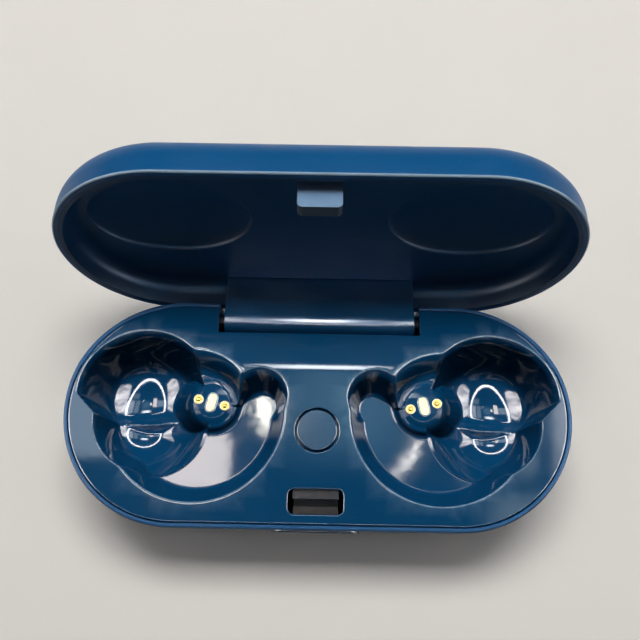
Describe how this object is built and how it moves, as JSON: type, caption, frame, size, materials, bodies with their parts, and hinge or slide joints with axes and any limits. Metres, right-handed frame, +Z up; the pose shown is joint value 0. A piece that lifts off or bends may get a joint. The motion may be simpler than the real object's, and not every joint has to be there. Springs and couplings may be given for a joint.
{
  "type": "earbud charging case",
  "caption": "Open pill-shaped charging case for wireless sport earbuds, with a hinged lid, shaped bays, contact pins, a pairing button and a push-button latch.",
  "frame": {"origin": "centre of the flat bottom face of the base", "axes": "+X along the case to the right as seen from the front, +Y from the release button to the hinge, +Z up from the table"},
  "size_m": [0.107, 0.0694, 0.0597],
  "materials": {
    "case_blue": "satin moulded plastic, fine grain",
    "liner_blue": "satin moulded plastic",
    "tab_blue": "satin moulded plastic",
    "deck_blue": "glossy moulded plastic",
    "button_blue": "satin moulded plastic",
    "catch_grey": "natural low-friction plastic",
    "black_plastic": "moulded plastic",
    "clear_plastic": "milky light-guiding plastic",
    "gold": "gold plating",
    "nickel": "nickel plating",
    "steel": "plain steel",
    "board": "glass-epoxy board with solder mask",
    "cell": "laminated pouch",
    "foam": "adhesive foam",
    "flex": "polyimide flexible circuit"
  },
  "bodies": {
    "base": {"base_shell": "case_blue", "battery": "cell", "battery_lead": "flex", "battery_pad": "foam", "bay_magnet_left": "nickel", "bay_magnet_right": "nickel", "board_components": "black_plastic", "case_screws": "steel", "charge_port": "steel", "contact_barrels_left": "gold", "contact_barrels_right": "gold", "contact_block_left": "black_plastic", "contact_block_right": "black_plastic", "contact_board_left": "board", "contact_board_right": "board", "contact_flex_left": "flex", "contact_flex_right": "flex", "contact_spring_left_inner": "steel", "contact_spring_left_outer": "steel", "contact_spring_right_inner": "steel", "contact_spring_right_outer": "steel", "deck": "deck_blue", "hinge_frame": "steel", "hinge_pin": "steel", "hinge_springs": "steel", "keeper_plate_left": "nickel", "keeper_plate_right": "nickel", "latch_spring_left": "steel", "latch_spring_right": "steel", "light_pipes": "clear_plastic", "main_board": "board", "pairing_switch": "steel", "port_board": "board", "port_tongue": "black_plastic"},
    "lid": {"lid_shell": "case_blue", "lid_liner": "liner_blue", "hinge_block": "liner_blue", "latch_tab": "tab_blue"},
    "release": {"release_button": "button_blue", "latch_slider": "catch_grey"},
    "pairing_button": {"pairing_button": "button_blue"},
    "pin_left_inner": {"contact_pin_left_inner": "gold"},
    "pin_left_outer": {"contact_pin_left_outer": "gold"},
    "pin_right_inner": {"contact_pin_right_inner": "gold"},
    "pin_right_outer": {"contact_pin_right_outer": "gold"}
  },
  "joints": [
    {"name": "lid_hinge", "type": "hinge", "parent": "base", "child": "lid", "pos_m": [0, 0.0207, 0.0173], "axis": [1, 0, 0], "range_deg": [0, 103], "stiffness_Nm_per_rad": 0.003, "springref_deg": -20.05},
    {"name": "release_slide", "type": "slide", "parent": "base", "child": "release", "axis": [0, 1, 0], "range_m": [0, 0.0012], "stiffness_N_per_m": 600, "springref_m": -0.001, "deforming": ["latch_spring_left", "latch_spring_right"]},
    {"name": "pairing_press", "type": "slide", "parent": "base", "child": "pairing_button", "axis": [0, 0, -1], "range_m": [0, 0.0004], "stiffness_N_per_m": 800, "springref_m": -0.0003},
    {"name": "pin_slide_left_inner", "type": "slide", "parent": "base", "child": "pin_left_inner", "axis": [0, 0, -1], "range_m": [0, 0.0005], "stiffness_N_per_m": 200, "springref_m": -0.0005, "deforming": ["contact_spring_left_inner"]},
    {"name": "pin_slide_left_outer", "type": "slide", "parent": "base", "child": "pin_left_outer", "axis": [0, 0, -1], "range_m": [0, 0.0005], "stiffness_N_per_m": 200, "springref_m": -0.0005, "deforming": ["contact_spring_left_outer"]},
    {"name": "pin_slide_right_inner", "type": "slide", "parent": "base", "child": "pin_right_inner", "axis": [0, 0, -1], "range_m": [0, 0.0005], "stiffness_N_per_m": 200, "springref_m": -0.0005, "deforming": ["contact_spring_right_inner"]},
    {"name": "pin_slide_right_outer", "type": "slide", "parent": "base", "child": "pin_right_outer", "axis": [0, 0, -1], "range_m": [0, 0.0005], "stiffness_N_per_m": 200, "springref_m": -0.0005, "deforming": ["contact_spring_right_outer"]}
  ]
}
